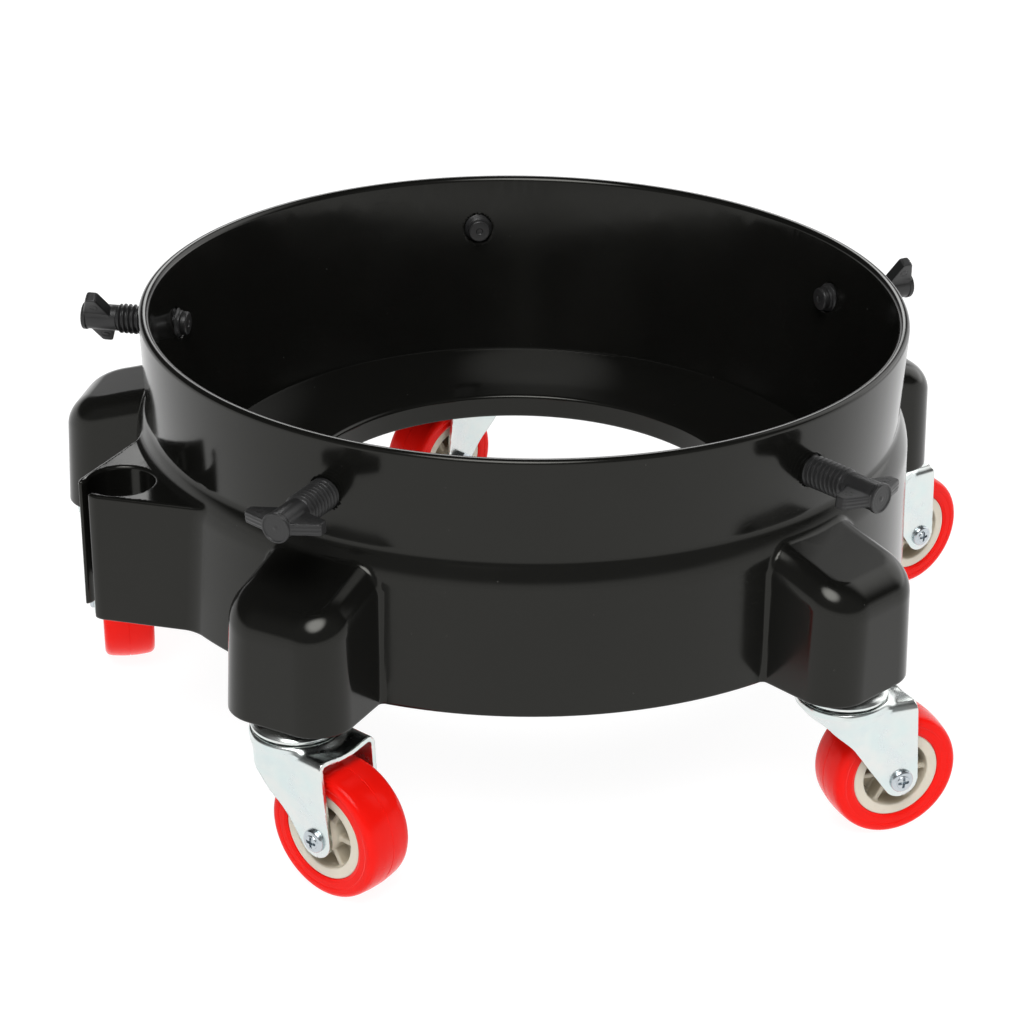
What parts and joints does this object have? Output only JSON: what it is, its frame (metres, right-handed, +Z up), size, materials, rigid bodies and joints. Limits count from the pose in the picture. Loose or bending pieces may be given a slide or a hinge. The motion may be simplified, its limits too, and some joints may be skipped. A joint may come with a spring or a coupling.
{
  "type": "rolling bucket dolly",
  "caption": "Round rolling dolly for a wash bucket: moulded ring with a seat, swivel casters in housings, winged clamp screws and a split hose socket.",
  "frame": {"origin": "on the ring's axis, at the upper edge of the floor opening, 83 mm above the ground", "axes": "+Z up along the ring's axis, -X towards the hose socket, +X towards the first of the five casters"},
  "size_m": [0.3978, 0.3642, 0.164],
  "materials": {
    "ring_plastic": "glossy black polypropylene",
    "screw_plastic": "satin black nylon",
    "zinc_steel": "bright zinc plated pressed steel",
    "bright_steel": "zinc plated turned steel",
    "ball_steel": "polished",
    "brass": "turned",
    "hub_plastic": "satin moulded polypropylene",
    "tread_polyurethane": "gloss cast polyurethane"
  },
  "bodies": {
    "root": {"ring_body": "ring_plastic", "stem_inserts": "brass", "stem_1": "bright_steel", "stem_2": "bright_steel", "stem_3": "bright_steel", "stem_4": "bright_steel", "stem_5": "bright_steel", "race_cup_1": "zinc_steel", "race_cup_2": "zinc_steel", "race_cup_3": "zinc_steel", "race_cup_4": "zinc_steel", "race_cup_5": "zinc_steel"},
    "caster_1": {"fork_1": "zinc_steel", "bearing_balls_1": "ball_steel", "axle_bolt_1": "bright_steel", "axle_nut_1": "bright_steel", "axle_sleeve_1": "bright_steel"},
    "wheel_1": {"wheel_hub_1": "hub_plastic", "tread_1": "tread_polyurethane"},
    "tip_1": {"screw_tip_1": "screw_plastic"},
    "screw_1": {"clamp_screw_1": "screw_plastic"},
    "caster_2": {"fork_2": "zinc_steel", "bearing_balls_2": "ball_steel", "axle_bolt_2": "bright_steel", "axle_nut_2": "bright_steel", "axle_sleeve_2": "bright_steel"},
    "wheel_2": {"wheel_hub_2": "hub_plastic", "tread_2": "tread_polyurethane"},
    "tip_2": {"screw_tip_2": "screw_plastic"},
    "screw_2": {"clamp_screw_2": "screw_plastic"},
    "caster_3": {"fork_3": "zinc_steel", "bearing_balls_3": "ball_steel", "axle_bolt_3": "bright_steel", "axle_nut_3": "bright_steel", "axle_sleeve_3": "bright_steel"},
    "wheel_3": {"wheel_hub_3": "hub_plastic", "tread_3": "tread_polyurethane"},
    "tip_3": {"screw_tip_3": "screw_plastic"},
    "screw_3": {"clamp_screw_3": "screw_plastic"},
    "caster_4": {"fork_4": "zinc_steel", "bearing_balls_4": "ball_steel", "axle_bolt_4": "bright_steel", "axle_nut_4": "bright_steel", "axle_sleeve_4": "bright_steel"},
    "wheel_4": {"wheel_hub_4": "hub_plastic", "tread_4": "tread_polyurethane"},
    "tip_4": {"screw_tip_4": "screw_plastic"},
    "screw_4": {"clamp_screw_4": "screw_plastic"},
    "caster_5": {"fork_5": "zinc_steel", "bearing_balls_5": "ball_steel", "axle_bolt_5": "bright_steel", "axle_nut_5": "bright_steel", "axle_sleeve_5": "bright_steel"},
    "wheel_5": {"wheel_hub_5": "hub_plastic", "tread_5": "tread_polyurethane"},
    "tip_5": {"screw_tip_5": "screw_plastic"},
    "screw_5": {"clamp_screw_5": "screw_plastic"}
  },
  "joints": [
    {"name": "caster_1_swivel", "type": "hinge", "parent": "root", "child": "caster_1", "pos_m": [0.17, 0, -0.0247], "axis": [0, 0, 1], "continuous": true},
    {"name": "wheel_1_roll", "type": "hinge", "parent": "caster_1", "child": "wheel_1", "pos_m": [0.19005, 0.00318, -0.0576], "axis": [-0.1564, 0.9877, 0], "continuous": true},
    {"name": "screw_1_travel", "type": "slide", "parent": "root", "child": "tip_1", "axis": [-1, 0, 0], "range_m": [-0.004, 0.012]},
    {"name": "screw_1_turn", "type": "hinge", "parent": "tip_1", "child": "screw_1", "pos_m": [0.1807, 0, 0.059], "axis": [-1, 0, 0], "range_deg": [-720.5, 2160.5]},
    {"name": "caster_2_swivel", "type": "hinge", "parent": "root", "child": "caster_2", "pos_m": [0.05253, 0.16168, -0.0247], "axis": [0, 0, 1], "continuous": true},
    {"name": "wheel_2_roll", "type": "hinge", "parent": "caster_2", "child": "wheel_2", "pos_m": [0.03358, 0.1544, -0.0576], "axis": [0.3584, -0.9336, 0], "continuous": true},
    {"name": "screw_2_travel", "type": "slide", "parent": "root", "child": "tip_2", "axis": [-0.309, -0.9511, 0], "range_m": [-0.004, 0.012]},
    {"name": "screw_2_turn", "type": "hinge", "parent": "tip_2", "child": "screw_2", "pos_m": [0.05584, 0.17186, 0.059], "axis": [-0.309, -0.9511, 0], "range_deg": [-720.5, 2160.5]},
    {"name": "caster_3_swivel", "type": "hinge", "parent": "root", "child": "caster_3", "pos_m": [-0.13753, 0.09992, -0.0247], "axis": [0, 0, 1], "continuous": true},
    {"name": "wheel_3_roll", "type": "hinge", "parent": "caster_3", "child": "wheel_3", "pos_m": [-0.14313, 0.08041, -0.0576], "axis": [0.9613, -0.2756, 0], "continuous": true},
    {"name": "screw_3_travel", "type": "slide", "parent": "root", "child": "tip_3", "axis": [0.809, -0.5878, 0], "range_m": [-0.004, 0.012]},
    {"name": "screw_3_turn", "type": "hinge", "parent": "tip_3", "child": "screw_3", "pos_m": [-0.14619, 0.10621, 0.059], "axis": [0.809, -0.5878, 0], "range_deg": [-720.5, 2160.5]},
    {"name": "caster_4_swivel", "type": "hinge", "parent": "root", "child": "caster_4", "pos_m": [-0.13753, -0.09992, -0.0247], "axis": [0, 0, 1], "continuous": true},
    {"name": "wheel_4_roll", "type": "hinge", "parent": "caster_4", "child": "wheel_4", "pos_m": [-0.12895, -0.11832, -0.0576], "axis": [0.9063, 0.4226, 0], "continuous": true},
    {"name": "screw_4_travel", "type": "slide", "parent": "root", "child": "tip_4", "axis": [0.809, 0.5878, 0], "range_m": [-0.004, 0.012]},
    {"name": "screw_4_turn", "type": "hinge", "parent": "tip_4", "child": "screw_4", "pos_m": [-0.14619, -0.10621, 0.059], "axis": [0.809, 0.5878, 0], "range_deg": [-720.5, 2160.5]},
    {"name": "caster_5_swivel", "type": "hinge", "parent": "root", "child": "caster_5", "pos_m": [0.05253, -0.16168, -0.0247], "axis": [0, 0, 1], "continuous": true},
    {"name": "wheel_5_roll", "type": "hinge", "parent": "caster_5", "child": "wheel_5", "pos_m": [0.07272, -0.1638, -0.0576], "axis": [0.1045, 0.9945, 0], "continuous": true},
    {"name": "screw_5_travel", "type": "slide", "parent": "root", "child": "tip_5", "axis": [-0.309, 0.9511, 0], "range_m": [-0.004, 0.012]},
    {"name": "screw_5_turn", "type": "hinge", "parent": "tip_5", "child": "screw_5", "pos_m": [0.05584, -0.17186, 0.059], "axis": [-0.309, 0.9511, 0], "range_deg": [-720.5, 2160.5]}
  ],
  "couplings": [
    {"joint": "screw_1_turn", "follows": "screw_1_travel", "rad_per_m": 3141.6},
    {"joint": "screw_2_turn", "follows": "screw_2_travel", "rad_per_m": 3141.6},
    {"joint": "screw_3_turn", "follows": "screw_3_travel", "rad_per_m": 3141.6},
    {"joint": "screw_4_turn", "follows": "screw_4_travel", "rad_per_m": 3141.6},
    {"joint": "screw_5_turn", "follows": "screw_5_travel", "rad_per_m": 3141.6}
  ]
}
